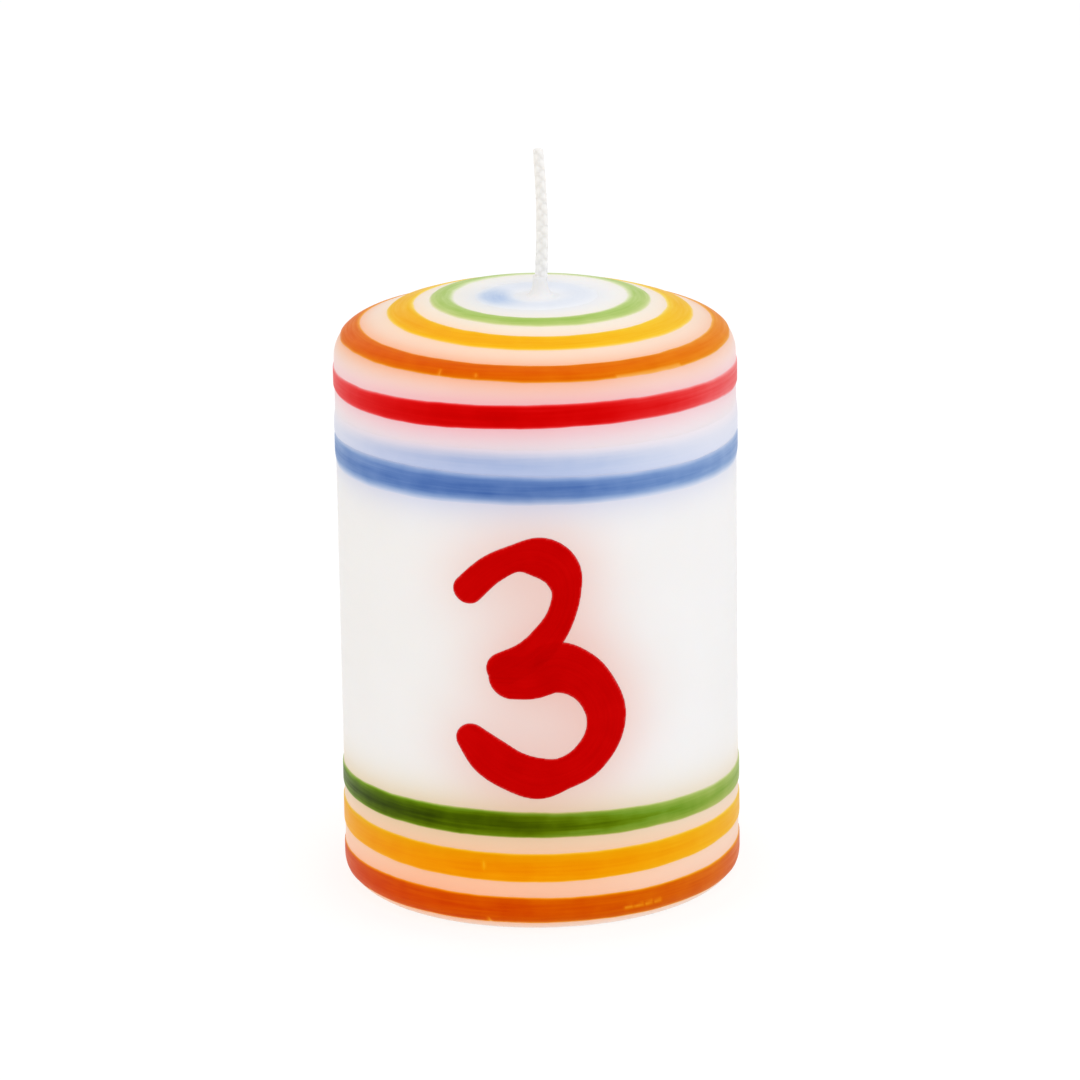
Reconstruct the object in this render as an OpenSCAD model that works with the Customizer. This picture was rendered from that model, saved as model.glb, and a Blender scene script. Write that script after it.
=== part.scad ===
// Small painted pillar candle, millimetres, +Z up.
// The origin is the middle of the base, and the painted numeral faces -Y.

/* [Wax body] */
// Diameter of the round body
body_d = 50; // [40:1:70]
// Height from the base to the flat middle of the top
body_h = 75; // [60:1:100]
// Diameter of the flat middle of the top
top_flat_d = 23; // [18:1:28]
// Radius of the low dome that falls away round the flat
dome_r = 57; // [50:1:70]
// Radius of the rounded shoulder between the dome and the side
shoulder_r = 4; // [2:0.5:6]
// Radius of the rounded foot
foot_r = 3; // [1:0.5:4]

/* [Wick] */
// Diameter of the waxed cotton wick where it leaves the wax
wick_d = 1.5; // [1:0.1:3]
// Diameter of the wick at its cut tip
wick_tip_d = 1.1; // [0.8:0.1:2]
// Length of wick above the flat top
wick_out = 18.5; // [8:0.5:30]
// How far the wick stands from the middle of the body, as cast
wick_offset = 0.8; // [0:0.1:2]
// Room round the wick in the wax and in the neck of its holder
wick_clear = 0.03; // [0.02:0.01:0.1]
// Diameter of the wax drawn up round the wick, at its foot
collar_d = 2.8; // [2:0.1:4]
// Height of the wax drawn up round the wick
collar_h = 2.5; // [1:0.5:4]
// Wax left round the wick at the top of that collar
collar_wall = 0.12; // [0.05:0.01:0.2]

/* [Wick holder] */
// Diameter of the tinplate disc in the base
disc_d = 15; // [10:0.5:20]
// Thickness of the tinplate
disc_t = 0.3; // [0.2:0.05:0.6]
// How far the disc sits above the surface that the candle stands on
disc_inset = 0.6; // [0.3:0.1:2]
// Height of the neck that grips the wick, above the disc
neck_h = 5; // [3:0.5:10]
// Room between the holder and the wax cast round it
holder_clear = 0.05; // [0.02:0.01:0.1]

/* [Paint] */
// Thickness of a brushed coat of coloured wax
paint_t = 0.15; // [0.08:0.01:0.4]

/* [Rings on the top] */
// From the side of the body in to the orange ring
orange_ring_inset = 0.8; // [0.5:0.1:1.5]
// Width of the orange ring, seen from above
orange_ring_w = 1.9; // [1:0.1:3]
// Bare wax between the orange and the yellow ring
yellow_ring_gap = 3.3; // [2:0.1:4]
// Width of the yellow ring
yellow_ring_w = 3.4; // [2:0.1:4]
// Bare wax between the yellow and the green ring
green_ring_gap = 2.3; // [1.5:0.1:3]
// Width of the green ring
green_ring_w = 2.5; // [1.5:0.1:3]
// Bare wax between the green and the pale blue ring
centre_ring_gap = 3.6; // [2:0.1:4]
// Bare wax between the wick's collar and the pale blue ring
centre_ring_clear = 0.8; // [0.5:0.1:1.2]

/* [Stripes under the shoulder] */
// From the lower end of the shoulder down to the red stripe
red_drop = 0.5; // [0.2:0.1:2]
// Width of the red stripe
red_w = 2.8; // [1.5:0.1:4]
// Bare wax between the red and the pale blue stripe
pale_blue_gap = 2.5; // [1:0.1:4]
// Width of the pale blue stripe
pale_blue_w = 3.6; // [2:0.1:5]
// Seam between the pale blue and the blue stripe
blue_gap = 0.1; // [0.1:0.1:2]
// Width of the blue stripe
blue_w = 3; // [1.5:0.1:4]

/* [Stripes above the foot] */
// Height of the lower edge of the orange stripe
low_orange_z = 1.7; // [1:0.1:4]
// Width of the lower orange stripe
low_orange_w = 3.2; // [1.5:0.1:4]
// Bare wax between the lower orange and yellow stripes
low_yellow_gap = 2.2; // [1:0.1:3]
// Width of the lower yellow stripe
low_yellow_w = 3.5; // [1.5:0.1:4]
// Bare wax between the lower yellow and green stripes
low_green_gap = 2; // [1:0.1:3]
// Width of the lower green stripe
low_green_w = 3.1; // [1.5:0.1:4]

/* [Numeral] */
// Bare wax between the lower green stripe and the numeral
numeral_gap_low = 2; // [1:0.1:4]
// Bare wax between the numeral and the blue stripe
numeral_gap_high = 4.5; // [2:0.1:8]

/* [Hidden] */
$fn = 96;

// Body section: the dome's centre, and the shoulder arc that touches the dome and the side
body_r = body_d / 2;
dome_z = body_h - sqrt(dome_r ^ 2 - (top_flat_d / 2) ^ 2);
shoulder_x = body_r - shoulder_r;
shoulder_z = dome_z + sqrt((dome_r - shoulder_r) ^ 2 - shoulder_x ^ 2);
// From the dome's centre to the shoulder arc's centre: the dome ends on this line
shoulder_way = [shoulder_x, shoulder_z - dome_z];
// Length that runs clear of the whole body, for cuts, and how far a cut starts outside it
past = body_r + body_h;
cut_start = 1;

// Wick and its holder
wick_hole_d = wick_d + 2 * wick_clear;
neck_d = wick_hole_d + 2 * disc_t;
disc_top = disc_inset + disc_t;

// Rings on the top, counted inwards from the side: inner and outer radius
orange_ring_out = body_r - orange_ring_inset;
orange_ring_in = orange_ring_out - orange_ring_w;
yellow_ring_out = orange_ring_in - yellow_ring_gap;
yellow_ring_in = yellow_ring_out - yellow_ring_w;
green_ring_out = yellow_ring_in - green_ring_gap;
green_ring_in = green_ring_out - green_ring_w;
centre_ring_out = green_ring_in - centre_ring_gap;
centre_ring_in = collar_d / 2 + centre_ring_clear;

// Lower edge of each stripe on the side
red_z = shoulder_z - red_drop - red_w;
pale_blue_z = red_z - pale_blue_gap - pale_blue_w;
blue_z = pale_blue_z - blue_gap - blue_w;
low_yellow_z = low_orange_z + low_orange_w + low_yellow_gap;
low_green_z = low_yellow_z + low_yellow_w + low_green_gap;

// The numeral fills the bare field between the lower green and the blue stripe
numeral_z = low_green_z + low_green_w + numeral_gap_low;
numeral_h = blue_z - numeral_gap_high - numeral_z;
// Height of the grid that the two brush strokes are drawn on
stroke_grid = 33;
// Points of a stroke's middle line as [across, up, brush width]
upper_stroke = [
    [-8.5, 26.5, 3.5], [-6, 29, 3.5], [-2.5, 30.5, 3.5], [0.5, 30.5, 4.5], [3, 29, 4],
    [3.5, 26, 3.5], [2.5, 23, 3.5], [1, 20.5, 4], [-1.5, 18, 4], [-4.5, 16.5, 4]
];
lower_stroke = [
    [-3.5, 15.5, 5.5], [-0.5, 16, 5.5], [2.5, 16.5, 6], [5, 15.5, 5.5], [7, 13.5, 5], [8, 10.5, 5],
    [7.5, 7.5, 4.5], [5.5, 4.5, 4.5], [2.5, 3, 4.5], [-0.5, 2.5, 5], [-3.5, 3.5, 5], [-6, 5, 5],
    [-8.5, 7.5, 3.5]
];
// Steps along each span of a stroke, and round each of its ends
span_steps = 4;
end_steps = 10;

// A point of the smooth curve through four neighbouring points, at t from 0 to 1 between the middle two
function smooth(a, b, c, d, t) =
    0.5 * (2 * b + (c - a) * t + (2 * a - 5 * b + 4 * c - d) * t ^ 2 + (3 * b - a - 3 * c + d) * t ^ 3);

// All the points of the smooth curve through a stroke's points
function smooth_line(p) =
    let (last = len(p) - 1)
    concat(
        [for (i = [0 : last - 1], k = [0 : span_steps - 1])
            smooth(p[max(i - 1, 0)], p[i], p[i + 1], p[min(i + 2, last)], k / span_steps)],
        [p[last]]
    );

// Direction of a line at point i, in degrees
function heading(p, i) =
    let (v = p[min(i + 1, len(p) - 1)] - p[max(i - 1, 0)])
    atan2(v[1], v[0]);

// A point on the brush's edge, half a width from point p towards angle a
function brush_edge(p, a) = [p[0], p[1]] + p[2] / 2 * [cos(a), sin(a)];

// Outline of a stroke: out along its left side, round the end, back along its right side, round the start
function stroke_outline(p) =
    let (last = len(p) - 1)
    concat(
        [for (i = [0 : last]) brush_edge(p[i], heading(p, i) + 90)],
        [for (k = [1 : end_steps - 1]) brush_edge(p[last], heading(p, last) + 90 - 180 * k / end_steps)],
        [for (i = [last : -1 : 0]) brush_edge(p[i], heading(p, i) - 90)],
        [for (k = [1 : end_steps - 1]) brush_edge(p[0], heading(p, 0) - 90 - 180 * k / end_steps)]
    );

// Half section of the body, or of the body with a coat of the given thickness on its painted faces
module body_section(coat = 0) {
    translate([0, foot_r])
        square([body_r + coat, shoulder_z - foot_r]);
    square([body_r - foot_r, foot_r]);
    intersection() {
        translate([body_r - foot_r, foot_r])
            circle(r = foot_r + coat);
        square([past, body_h]);
    }
    intersection() {
        translate([shoulder_x, shoulder_z])
            circle(r = shoulder_r + coat);
        square([past, body_h]);
    }
    intersection() {
        translate([0, dome_z])
            circle(r = dome_r + coat);
        square([past, body_h + coat]);
        translate([0, dome_z])
            polygon([[0, 0], 2 * shoulder_way, [0, 2 * shoulder_way[1]]]);
    }
}

// Half section of a coat of paint over the whole body
module coat_section() {
    difference() {
        body_section(paint_t);
        body_section();
    }
}

// Coat between two heights on the side
module stripe(z, w) {
    rotate_extrude()
        intersection() {
            coat_section();
            translate([0, z])
                square([past, w]);
        }
}

// Coat between two radii on the top, centred on the axis that it was turned on
module top_ring(r_in, r_out, centre = 0) {
    intersection() {
        rotate_extrude()
            coat_section();
        translate([centre, 0, shoulder_z])
            difference() {
                cylinder(h = past, r = r_out);
                translate([0, 0, -cut_start])
                    cylinder(h = past + 2 * cut_start, r = r_in);
            }
    }
}

// Cast white wax, with the hole that the wick fills and the seat of the wick's holder in its base
module wax_body() {
    color("ivory")
        difference() {
            union() {
                rotate_extrude()
                    body_section();
                translate([wick_offset, 0, body_h])
                    cylinder(h = collar_h, d1 = collar_d, d2 = wick_hole_d + 2 * collar_wall);
            }
            translate([wick_offset, 0, -cut_start]) {
                cylinder(h = past, d = wick_hole_d);
                cylinder(h = cut_start + disc_top + holder_clear, d = disc_d + 2 * holder_clear);
                cylinder(h = cut_start + disc_top + neck_h + holder_clear, d = neck_d + 2 * holder_clear);
            }
        }
}

// Waxed cotton wick, from the underside of its holder up to the cut tip
module wick() {
    color("floralwhite")
        translate([wick_offset, 0, 0]) {
            translate([0, 0, disc_inset])
                cylinder(h = body_h - disc_inset, d = wick_d);
            translate([0, 0, body_h])
                cylinder(h = wick_out, d1 = wick_d, d2 = wick_tip_d);
        }
}

// Stamped tinplate disc with a drawn neck that grips the wick
module wick_holder() {
    color("silver")
        translate([wick_offset, 0, disc_inset])
            difference() {
                union() {
                    cylinder(h = disc_t, d = disc_d);
                    cylinder(h = disc_t + neck_h, d = neck_d);
                }
                translate([0, 0, -cut_start])
                    cylinder(h = disc_t + neck_h + 2 * cut_start, d = wick_hole_d);
            }
}

module centre_ring() {
    color("lightsteelblue")
        top_ring(centre_ring_in, centre_ring_out, wick_offset);
}

module green_ring() {
    color("olivedrab")
        top_ring(green_ring_in, green_ring_out, wick_offset);
}

module yellow_ring() {
    color("orange")
        top_ring(yellow_ring_in, yellow_ring_out, wick_offset);
}

module orange_ring() {
    color("chocolate")
        top_ring(orange_ring_in, orange_ring_out);
}

module red_stripe() {
    color("crimson")
        stripe(red_z, red_w);
}

module pale_blue_stripe() {
    color("lavender")
        stripe(pale_blue_z, pale_blue_w);
}

module blue_stripe() {
    color("cornflowerblue")
        stripe(blue_z, blue_w);
}

// Both brush strokes, carried straight back on to the front of the body
module numeral_three() {
    color("red")
        intersection() {
            translate([0, 0, numeral_z])
                rotate([90, 0, 0])
                    linear_extrude(height = past)
                        scale(numeral_h / stroke_grid)
                            for (stroke = [upper_stroke, lower_stroke])
                                polygon(stroke_outline(smooth_line(stroke)));
            rotate_extrude()
                coat_section();
        }
}

module low_green_stripe() {
    color("forestgreen")
        stripe(low_green_z, low_green_w);
}

module low_yellow_stripe() {
    color("orange")
        stripe(low_yellow_z, low_yellow_w);
}

module low_orange_stripe() {
    color("chocolate")
        stripe(low_orange_z, low_orange_w);
}

wax_body();
wick();
wick_holder();
centre_ring();
green_ring();
yellow_ring();
orange_ring();
red_stripe();
pale_blue_stripe();
blue_stripe();
numeral_three();
low_green_stripe();
low_yellow_stripe();
low_orange_stripe();
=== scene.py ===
# Looks of a small painted pillar candle: cast white wax, brushed coats of coloured wax, a plaited wick.
import math
from functools import partial

import bpy
import numpy as np
from mathutils import Matrix, Vector


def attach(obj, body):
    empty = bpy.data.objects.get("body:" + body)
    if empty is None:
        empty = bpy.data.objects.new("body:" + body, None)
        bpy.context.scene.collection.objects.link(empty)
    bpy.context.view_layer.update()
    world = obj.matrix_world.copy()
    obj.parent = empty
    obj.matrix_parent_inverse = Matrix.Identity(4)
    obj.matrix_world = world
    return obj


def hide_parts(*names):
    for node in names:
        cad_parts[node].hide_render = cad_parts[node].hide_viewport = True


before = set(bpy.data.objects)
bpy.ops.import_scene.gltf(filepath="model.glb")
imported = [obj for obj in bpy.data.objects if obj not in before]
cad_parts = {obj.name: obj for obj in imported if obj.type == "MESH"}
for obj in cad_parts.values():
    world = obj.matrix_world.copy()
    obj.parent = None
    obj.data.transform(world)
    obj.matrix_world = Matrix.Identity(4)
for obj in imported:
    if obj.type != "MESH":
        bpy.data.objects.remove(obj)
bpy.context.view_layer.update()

# Sizes in millimetres, the same as in the part's source
MM = 0.001
BODY_R, BODY_H = 25.0, 75.0
FLAT_R, DOME_R, SHOULDER_R, FOOT_R = 11.5, 57.0, 4.0, 3.0
WICK_X, WICK_TOP = 0.8, 93.5
DISC_R, DISC_T, DISC_INSET, NECK_H, HOLDER_GAP = 7.5, 0.3, 0.6, 5.0, 0.05
COAT_T = 0.15
# How far a coat's thin edge is worked into the wax
COAT_SINK = 0.02
# The wax closes on the wick, and its collar thins out on it
HOLE_R, WAX_HOLE_R = 0.78, 0.60
COLLAR_H, COLLAR_WALL, COLLAR_FOOT_R = 2.6, 0.24, 1.8
# The corner that the collar's hollow side leans to: out from its lip, and up from the top
COLLAR_OUT, COLLAR_UP = 0.12, 0.1
# Half the width over which the flat of the top turns into the dome
RIM_EASE = 0.9
# Softness of the edges of the wax and of the stamped sheet
WAX_SOFT, SHEET_SOFT = 0.05, 0.1
# Room between the collar's foot and the next point of the top, and past the holder's disc before the cut's
# middle moves over from the wick to the axis
TOP_GAP, SEAT_RIM = 0.1, 0.5

# Hand-cast unevenness of the wax: how much, and how long its waves are
UNEVEN, UNEVEN_WAVE = 0.05, 22.0
# It begins this far above the base and this far from the wick, and it is full at the last distance
EVEN_FOOT_H, EVEN_WICK_R, UNEVEN_FROM = 2.0, 3.0, 9.0
# The shake of the hand along a coat's edges, and how fine it is
HAND_WAVER, HAND_WAVES = 0.35, 5.0
# Wax nearer than this to a coat lies under it
UNDER_COAT = 0.06

# The wick: its strands, the length of one weave, how far a strand swings out, how deep that is as a share,
# a strand's radius, what is left of it at the tip, how far the wick bows, and the gap below its foot
STRANDS, PITCH, SWING, PLAIT_DEPTH, STRAND_R = 3, 4.2, 0.11, 0.6, 0.73
TIP_SHARE, BOW, FOOT_GAP = 0.78, 0.35, 0.1
# The holder's spokes: how many, how deep, how sharp, and where they rise and end; the crimp of its neck
SPOKES, SPOKE_DEPTH, SPOKE_EDGE, SPOKE_IN, SPOKE_OUT = 6, 0.15, (0.45, 0.95), (2.2, 2.9), (5.6, 6.4)
CRIMP_DEPTH, CRIMP_UP = 0.06, (3.0, 4.0)

# Steps of the meshes: each run of the outer line from the flat to the foot, eased corners, turns and bands
FLAT_STEPS, RIM_STEPS, DOME_STEPS, SHOULDER_STEPS, SIDE_STEPS, FOOT_STEPS = 24, 6, 26, 14, 140, 12
COLLAR_STEPS, CORNER_STEPS, STEPS_ROUND, HOLDER_STEPS_ROUND = 12, 3, 320, 160
BAND_STEPS_ROUND, BAND_STEPS_ACROSS = 600, 16
STRAND_STEPS, STRAND_SIDES = 700, 10
# Length of a step on the holder's cut, in mm, and of a step along a scratch, in degrees
HOLDER_STEP, SCRATCH_STEP = 0.25, 3
# Points of a seam that are nearer than this, in metres, become one
SEAM_GAP = 1e-7

# Kinds of node that are used most, and settings that many of them share
MATH, VECTOR, MIX = "ShaderNodeMath", "ShaderNodeVectorMath", "ShaderNodeMix"
RANGE, NOISE, BUMP = "ShaderNodeMapRange", "ShaderNodeTexNoise", "ShaderNodeBump"
SPLIT, JOIN, ATTRIBUTE = "ShaderNodeSeparateXYZ", "ShaderNodeCombineXYZ", "ShaderNodeAttribute"
STORE, NAMED = "GeometryNodeStoreNamedAttribute", "GeometryNodeInputNamedAttribute"
GROUP, OBJECT = "GeometryNodeGroup", "GeometryNodeObjectInfo"
POSITION, MOVE = "GeometryNodeInputPosition", "GeometryNodeSetPosition"
NEAREST, PROXIMITY = "GeometryNodeSampleNearestSurface", "GeometryNodeProximity"
SMOOTH = {"interpolation_type": "SMOOTHSTEP"}
TIMES, TIMES_PLUS, PLUS = ({"operation": label} for label in ("MULTIPLY", "MULTIPLY_ADD", "ADD"))


def linear(code):
    """An sRGB hex colour as linear red, green, blue and alpha."""
    parts = [int(code[i:i + 2], 16) / 255 for i in (1, 3, 5)]
    return [*(c / 12.92 if c <= 0.04045 else ((c + 0.055) / 1.055) ** 2.4 for c in parts), 1.0]


def plug(node, feeds):
    """Feeds a node's sockets, by name or in order: a node or socket is linked, a plain value is set."""
    for key, feed in feeds.items() if isinstance(feeds, dict) else enumerate(feeds):
        if isinstance(feed, bpy.types.Node):
            feed = feed.outputs[0]
        if isinstance(feed, bpy.types.NodeSocket):
            node.id_data.links.new(feed, node.inputs[key])
        else:
            node.inputs[key].default_value = feed


def add_node(tree, kind, feeds=(), **settings):
    """Adds one node with its settings, and feeds its sockets."""
    made = tree.nodes.new(kind)
    for label, value in settings.items():
        setattr(made, label, value)
    plug(made, feeds)
    return made


def new_tree(name, takes, gives):
    """An empty Geometry Nodes tree: the tree, what adds nodes to it, its named inputs and its output node."""
    tree = bpy.data.node_groups.new(name, "GeometryNodeTree")
    for label, kind in takes.items():
        tree.interface.new_socket(label, in_out="INPUT", socket_type="NodeSocket" + kind)
    for label, kind in gives.items():
        tree.interface.new_socket(label, in_out="OUTPUT", socket_type="NodeSocket" + kind)
    add = partial(add_node, tree)
    return tree, add, add("NodeGroupInput").outputs, add("NodeGroupOutput")


def shaping_tree(name, takes):
    """A tree that shapes a piece: besides its own inputs it takes the mesh and the material."""
    return new_tree(name, {"Geometry": "Geometry", **takes, "Material": "Material"}, {"Geometry": "Geometry"})


def end_tree(add, mesh, take, give):
    """Ends a shaping tree: smooth faces, the material and real geometry."""
    smooth = add("GeometryNodeSetShadeSmooth", [mesh])
    dressed = add("GeometryNodeSetMaterial", {"Geometry": smooth, "Material": take["Material"]})
    plug(give, {"Geometry": add("GeometryNodeRealizeInstances", [dressed])})


def grow(piece, tree, sizes):
    """Runs a tree on a piece with these inputs, and leaves the result as the piece's own plain mesh."""
    rule = piece.modifiers.new(tree.name, "NODES")
    rule.node_group = tree
    sockets = [s for s in tree.interface.items_tree if s.item_type == "SOCKET" and s.in_out == "INPUT"]
    for socket in sockets:
        if socket.name in sizes:
            rule[socket.identifier] = sizes[socket.name]
    bpy.context.view_layer.update()
    shaped = piece.evaluated_get(bpy.context.evaluated_depsgraph_get())
    mesh = bpy.data.meshes.new_from_object(shaped)
    piece.modifiers.remove(rule)
    piece.data = mesh
    mesh.name = piece.name
    return piece


def new_piece(name, points=(), edges=(), faces=()):
    """A mesh object at the origin, from points in metres."""
    mesh = bpy.data.meshes.new(name)
    mesh.from_pydata([tuple(p) for p in points], edges, faces)
    piece = bpy.data.objects.new(name, mesh)
    bpy.context.scene.collection.objects.link(piece)
    return piece


# The cut through the body

def line(start, end, steps):
    return np.linspace(start, end, steps + 1)


def arc(middle, radius, start, end, steps):
    turns = np.radians(np.linspace(start, end, steps + 1))
    return np.column_stack([middle[0] + radius * np.cos(turns), middle[1] + radius * np.sin(turns)])


def ease(start, corner, end, steps):
    """A soft turn from start to end that leans towards the corner."""
    t = np.linspace(0, 1, steps + 1)[:, None]
    return (1 - t) ** 2 * np.array(start) + 2 * t * (1 - t) * np.array(corner) + t ** 2 * np.array(end)


def joined(*runs):
    """Runs of points put end to end, without the points that repeat."""
    points = np.vstack(runs)
    moved = np.linalg.norm(np.diff(points, axis=0), axis=1) > 1e-6
    return points[np.r_[True, moved]]


def softened(corners, soft):
    """A path whose inner corners are eased over the distance soft."""
    corners = [np.array(c, float) for c in corners]
    runs = [corners[:1]]
    for before, corner, after in zip(corners, corners[1:], corners[2:]):
        back = corner + soft * (before - corner) / np.linalg.norm(before - corner)
        ahead = corner + soft * (after - corner) / np.linalg.norm(after - corner)
        runs.append(ease(back, corner, ahead, CORNER_STEPS))
    return joined(*runs, corners[-1:])


def outside_line():
    """The body's outer line as [out, up], from the middle of the top down to the base."""
    dome_z = BODY_H - math.sqrt(DOME_R ** 2 - FLAT_R ** 2)
    shoulder_x = BODY_R - SHOULDER_R
    shoulder_z = dome_z + math.sqrt((DOME_R - SHOULDER_R) ** 2 - shoulder_x ** 2)
    dome_start = math.degrees(math.acos((FLAT_R + RIM_EASE) / DOME_R))
    dome_end = math.degrees(math.atan2(shoulder_z - dome_z, shoulder_x))
    flat_end = (FLAT_R - RIM_EASE, BODY_H)
    dome = arc((0, dome_z), DOME_R, dome_start, dome_end, DOME_STEPS)
    return joined(
        line((0, BODY_H), flat_end, FLAT_STEPS),
        ease(flat_end, (FLAT_R, BODY_H), dome[0], RIM_STEPS),
        dome,
        arc((shoulder_x, shoulder_z), SHOULDER_R, dome_end, 0, SHOULDER_STEPS),
        line((BODY_R, shoulder_z), (BODY_R, FOOT_R), SIDE_STEPS),
        arc((BODY_R - FOOT_R, FOOT_R), FOOT_R, 0, -90, FOOT_STEPS),
    )


OUTSIDE = outside_line()
# Distance along the outer line from the middle of the top
RUN = np.r_[0, np.cumsum(np.linalg.norm(np.diff(OUTSIDE, axis=0), axis=1))]
SIDE_FIRST = int(np.argmax(OUTSIDE[:, 0] > BODY_R - 1e-6))


def run_at_radius(out):
    """Distance along the outer line to a radius on the top."""
    return float(np.interp(out, OUTSIDE[:SIDE_FIRST + 1, 0], RUN[:SIDE_FIRST + 1]))


def run_at_height(up):
    """Distance along the outer line to a height on the side or the foot."""
    return float(np.interp(-up, -OUTSIDE[SIDE_FIRST:, 1], RUN[SIDE_FIRST:]))


def wax_section():
    """The closed cut through the wax: its collar, the outside, the holder's seat and the wick's hole."""
    collar_top = BODY_H + COLLAR_H
    lip = (WAX_HOLE_R + COLLAR_WALL, collar_top)
    seat_r, seat_z = DISC_R + HOLDER_GAP, DISC_INSET + DISC_T + HOLDER_GAP
    neck_r, neck_z = HOLE_R + DISC_T + HOLDER_GAP, seat_z + NECK_H
    under = softened([
        OUTSIDE[-1], (seat_r, 0), (seat_r, seat_z), (neck_r, seat_z), (neck_r, neck_z),
        (WAX_HOLE_R, neck_z), (WAX_HOLE_R, collar_top), lip,
    ], WAX_SOFT)
    return joined(
        ease(lip, (lip[0] + COLLAR_OUT, BODY_H + COLLAR_UP), (COLLAR_FOOT_R, BODY_H), COLLAR_STEPS),
        OUTSIDE[OUTSIDE[:, 0] > COLLAR_FOOT_R + TOP_GAP],
        under[:-1],
    )


def holder_section():
    """The closed cut through the stamped holder: neck, disc and the hole for the wick."""
    neck_r, top = HOLE_R + DISC_T, DISC_INSET + DISC_T
    corners = softened([
        (HOLE_R, top), (HOLE_R, top + NECK_H), (neck_r, top + NECK_H), (neck_r, top),
        (DISC_R, top), (DISC_R, DISC_INSET), (HOLE_R, DISC_INSET), (HOLE_R, top),
    ], SHEET_SOFT)
    steps = [max(1, round(np.linalg.norm(b - a) / HOLDER_STEP)) for a, b in zip(corners, corners[1:])]
    return joined(*(line(a, b, n) for a, b, n in zip(corners, corners[1:], steps)))[:-1]


# Trees that shape the pieces

def unevenness_tree():
    """How far the hand-cast wax stands proud of its true shape: not at all at the base and at the wick."""
    tree, add, take, give = new_tree("wax_unevenness", {"Point": "Vector"}, {"Proud": "Float"})
    xyz = add(SPLIT, [take["Point"]])
    waves = add(NOISE, {"Vector": take["Point"], "Scale": 1 / (UNEVEN_WAVE * MM), "Detail": 1.0})
    swing = add(MATH, [waves, 2 * UNEVEN * MM, -UNEVEN * MM], **TIMES_PLUS)
    above_foot = add(RANGE, [xyz.outputs["Z"], EVEN_FOOT_H * MM, UNEVEN_FROM * MM], **SMOOTH)
    across = add(JOIN, [xyz.outputs["X"], xyz.outputs["Y"]])
    from_wick = add(VECTOR, [across, (WICK_X * MM, 0, 0)], operation="DISTANCE").outputs["Value"]
    off_wick = add(RANGE, [from_wick, EVEN_WICK_R * MM, UNEVEN_FROM * MM], **SMOOTH)
    held = add(MATH, [above_foot, off_wick], **TIMES)
    plug(give, {"Proud": add(MATH, [swing, held], **TIMES)})
    return tree


UNEVENNESS = unevenness_tree()


def on_wax_tree():
    """A place on the wax, from its facing, its distance along the outer line and its height off the wax."""
    tree, add, take, give = new_tree("place_on_wax", {
        "Outside": "Geometry", "Facing": "Vector", "Run": "Float", "Height": "Float",
    }, {"Place": "Vector"})
    spot = add("GeometryNodeSampleCurve", {"Curves": take["Outside"], "Length": take["Run"]},
               mode="LENGTH", use_all_curves=True)
    at = add(SPLIT, [spot.outputs["Position"]])
    way = add(SPLIT, [spot.outputs["Tangent"]])
    rise = add(JOIN, {2: at.outputs["Z"]})
    skin = add(VECTOR, [take["Facing"], at.outputs["X"], rise], **TIMES_PLUS)
    back = add(MATH, [way.outputs["Z"], -1.0], **TIMES)
    lean = add(JOIN, {2: way.outputs["X"]})
    square = add(VECTOR, [take["Facing"], back, lean], **TIMES_PLUS)
    uneven = add(GROUP, {"Point": skin}, node_tree=UNEVENNESS)
    height = add(MATH, [take["Height"], uneven], **PLUS)
    plug(give, {"Place": add(VECTOR, [square, height, skin], **TIMES_PLUS)})
    return tree


ON_WAX = on_wax_tree()


def flat_sheet(add, columns, rows):
    """A flat sheet to be rolled round the axis: its mesh, the turn of each point, and its place across."""
    sheet = add("GeometryNodeMeshGrid", {
        "Size X": 1.0, "Size Y": 1.0, "Vertices X": columns, "Vertices Y": rows})
    spot = add(SPLIT, [add(POSITION)])
    turn = add(MATH, [spot.outputs["X"], math.tau], **TIMES)
    return sheet, turn, spot.outputs["Y"]


def facing_way(add, turn):
    """The level direction that a turn from the front faces."""
    sine, cosine = (add(MATH, [turn], operation=label) for label in ("SINE", "COSINE"))
    return add(JOIN, [sine, add(MATH, [cosine, -1.0], **TIMES)])


def rolled_up(add, sheet, place):
    """The sheet with its points in place, its seam closed and its faces outward."""
    rolled = add(MOVE, {"Geometry": sheet, "Position": place})
    closed = add("GeometryNodeMergeByDistance", {"Geometry": rolled, "Distance": SEAM_GAP})
    return add("GeometryNodeFlipFaces", [closed])


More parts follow.
